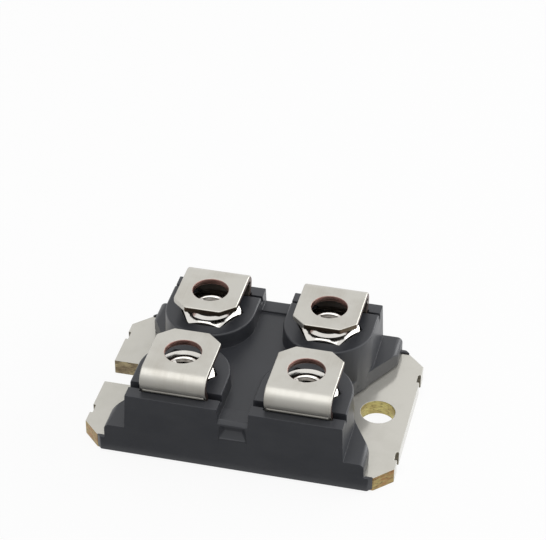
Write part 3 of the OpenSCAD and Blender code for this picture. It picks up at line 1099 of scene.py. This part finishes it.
@dataclass(frozen=True)
class PhotoCamera:
    """The camera that took the photo, as fitted to the base plate and the case.

    Attributes:
        azimuth: Turn to the right of the front, in degrees.
        elevation: Angle above the base plate, in degrees.
        right_mm: Shift to the right, in the camera's own axes.
        up_mm: Shift upwards, in the camera's own axes.
        roll: Turn about the line of sight, in degrees.
        near: Distance from which things are seen, in metres.
        far: Distance up to which things are seen, in metres.
    """

    azimuth: float = 13.24
    elevation: float = 35.79
    distance_mm: float = 251.5
    right_mm: float = 1.93
    up_mm: float = 16.8
    roll: float = 0.26
    focal_px: float = 2033.4
    photo_w_px: int = 546
    sensor_mm: float = 36.0
    near: float = 0.01
    far: float = 10.0

    def make(self) -> None:
        """Make the camera and use it for the scene."""
        turn, tilt = math.radians(self.azimuth), math.radians(self.elevation)
        back = Vector((math.sin(turn) * math.cos(tilt), -math.cos(turn) * math.cos(tilt), math.sin(tilt)))
        level = Vector((math.cos(turn), math.sin(turn), 0))
        rise = back.cross(level)
        roll = math.radians(self.roll)
        right = level * math.cos(roll) + rise * math.sin(roll)
        up = rise * math.cos(roll) - level * math.sin(roll)
        place = (back * self.distance_mm + right * self.right_mm + up * self.up_mm) * MM
        data = bpy.data.cameras.new("photo_camera")
        data.sensor_width = self.sensor_mm
        data.lens = self.focal_px / self.photo_w_px * self.sensor_mm
        data.clip_start = self.near
        data.clip_end = self.far
        camera = bpy.data.objects.new("photo_camera", data)
        camera.matrix_world = Matrix.Translation(place) @ Matrix((right, up, back)).transposed().to_4x4()
        bpy.context.scene.collection.objects.link(camera)
        bpy.context.scene.camera = camera


@dataclass(frozen=True)
class SoftBox:
    """A square area lamp aimed at the module, with its place and size in metres."""

    name: str
    place: Triple
    size: float
    radiance: float

    def make(self) -> None:
        """Make the lamp."""
        data = bpy.data.lights.new(self.name, "AREA")
        data.shape = "SQUARE"
        data.size = self.size
        data.energy = self.radiance * math.pi * self.size ** 2
        lamp = bpy.data.objects.new(self.name, data)
        lamp.location = self.place
        lamp.rotation_euler = (-Vector(self.place)).to_track_quat("-Z", "Y").to_euler()
        bpy.context.scene.collection.objects.link(lamp)


@dataclass(frozen=True)
class Card:
    """A grey card that only mirrors see, which gives the metal its darker bands.

    Attributes:
        place: Middle of the card, in metres.
        size: Width and depth, in metres.
        light: Tone of the card, where 1 is white.
        tilt: Turn about X, in degrees.
    """

    name: str
    place: Triple
    size: tuple[float, float]
    light: float
    tilt: float = 0.0

    def make(self) -> None:
        """Make the card."""
        card = Bench.sheet(self.name, self.place, self.size, self.tilt)
        card.visible_camera = False
        card.visible_diffuse = False
        card.visible_shadow = False
        graph = Graph(self.name)
        card.data.materials.append(graph.surface(graph.add("Emission", {"Strength": self.light})))


@dataclass
class Studio:
    """Pale floor, white surroundings, soft boxes and grey cards in front.

    Attributes:
        floor_size: Width of the floor, in metres.
        floor_drop_mm: Gap between the floor and the base plate.
        floor_glow: Share of plain white in what is seen of the floor.
        ambient: Light from the surroundings, where what is seen of them is 1.
        cards: Grey cards on the floor, a painted shade of the floor in front of the case that only mirrors
            see, and one upright in front.
        boxes: Lamps above, at the right and behind.
    """

    floor_size: float = 3.0
    floor_drop_mm: float = 0.02
    floor_color: Color = (0.92, 0.92, 0.92)
    floor_glow: float = 0.9
    ambient: float = 0.52
    cards: tuple[Card, ...] = (
        # Painted shade: the cards on the floor stand for the floor's shade in front of the case, seen only in
        # reflections.
        Card("floor_shade_card", place=(0.0, -0.12, 0.0002), size=(0.5, 0.213), light=0.4),
        Card("near_shadow_card", place=(0.0, -0.02, 0.0003), size=(0.1, 0.013), light=0.28),
        Card("low_card", place=(0.0, -0.6, 0.12), size=(1.6, 0.24), light=0.55, tilt=90.0),
    )
    boxes: tuple[SoftBox, ...] = (
        SoftBox("top_box", place=(0.0, -0.14, 0.53), size=0.56, radiance=0.95),
        SoftBox("right_box", place=(0.5, 0.16, 0.26), size=0.34, radiance=2.5),
        SoftBox("rim_box", place=(0.44, 0.62, 0.2), size=0.4, radiance=3.1),
    )

    @staticmethod
    def seen_white(tree: bpy.types.NodeTree) -> Socket:
        """Value that is 1 for what a camera, a mirror or glass sees.

        Args:
            tree: Node tree to add to.

        Returns:
            Socket of the value.
        """
        path = tree.nodes.new("ShaderNodeLightPath")
        value = path.outputs["Is Camera Ray"]
        for name in ("Is Glossy Ray", "Is Transmission Ray"):
            either = tree.nodes.new("ShaderNodeMath")
            either.operation = "MAXIMUM"
            tree.links.new(value, either.inputs[0])
            tree.links.new(path.outputs[name], either.inputs[1])
            value = either.outputs[0]
        return value

    def make_world(self) -> None:
        """Make white surroundings that light the module at a plain level."""
        world = bpy.data.worlds.new("white_studio")
        world.use_nodes = True
        tree = world.node_tree
        strength = tree.nodes.new("ShaderNodeMapRange")
        strength.inputs["To Min"].default_value = self.ambient
        strength.inputs["To Max"].default_value = 1.0
        tree.links.new(self.seen_white(tree), strength.inputs["Value"])
        background = tree.nodes["Background"]
        background.inputs["Color"].default_value = (1.0, 1.0, 1.0, 1.0)
        tree.links.new(strength.outputs["Result"], background.inputs["Strength"])
        bpy.context.scene.world = world

    def make_floor(self) -> None:
        """Make the floor, which keeps a soft shadow."""
        place = (0.0, 0.0, -self.floor_drop_mm * MM)
        floor = Bench.sheet("studio_floor", place, (self.floor_size, self.floor_size))
        graph = Graph("pale_floor")
        matt = graph.add("BsdfDiffuse", {"Color": (*self.floor_color, 1.0)})
        glow = graph.add("Emission")
        mix = graph.add("MixShader")
        graph.join(graph.times(self.seen_white(graph.tree), self.floor_glow), mix.inputs["Fac"])
        graph.join(matt.outputs[0], mix.inputs[1])
        graph.join(glow.outputs[0], mix.inputs[2])
        floor.data.materials.append(graph.surface(mix))

    def make(self) -> None:
        """Make the whole studio."""
        self.make_world()
        self.make_floor()
        for prop in (*self.cards, *self.boxes, PhotoCamera()):
            prop.make()
        bpy.context.scene.view_settings.view_transform = "Standard"


def main() -> None:
    """Build and dress the module, then the studio."""
    logging.basicConfig(level=logging.INFO, format="%(message)s")
    housing = Housing()
    housing.dress(housing.build())
    plate = BasePlate()
    plate.dress(plate.build())
    terminals = Terminals()
    terminals.dress({corner: terminals.build(corner) for corner in Corner})
    nuts = Nuts()
    nuts.dress(nuts.build())
    SealedStack().dress()
    Studio().make()


if __name__ == "__main__":
    main()
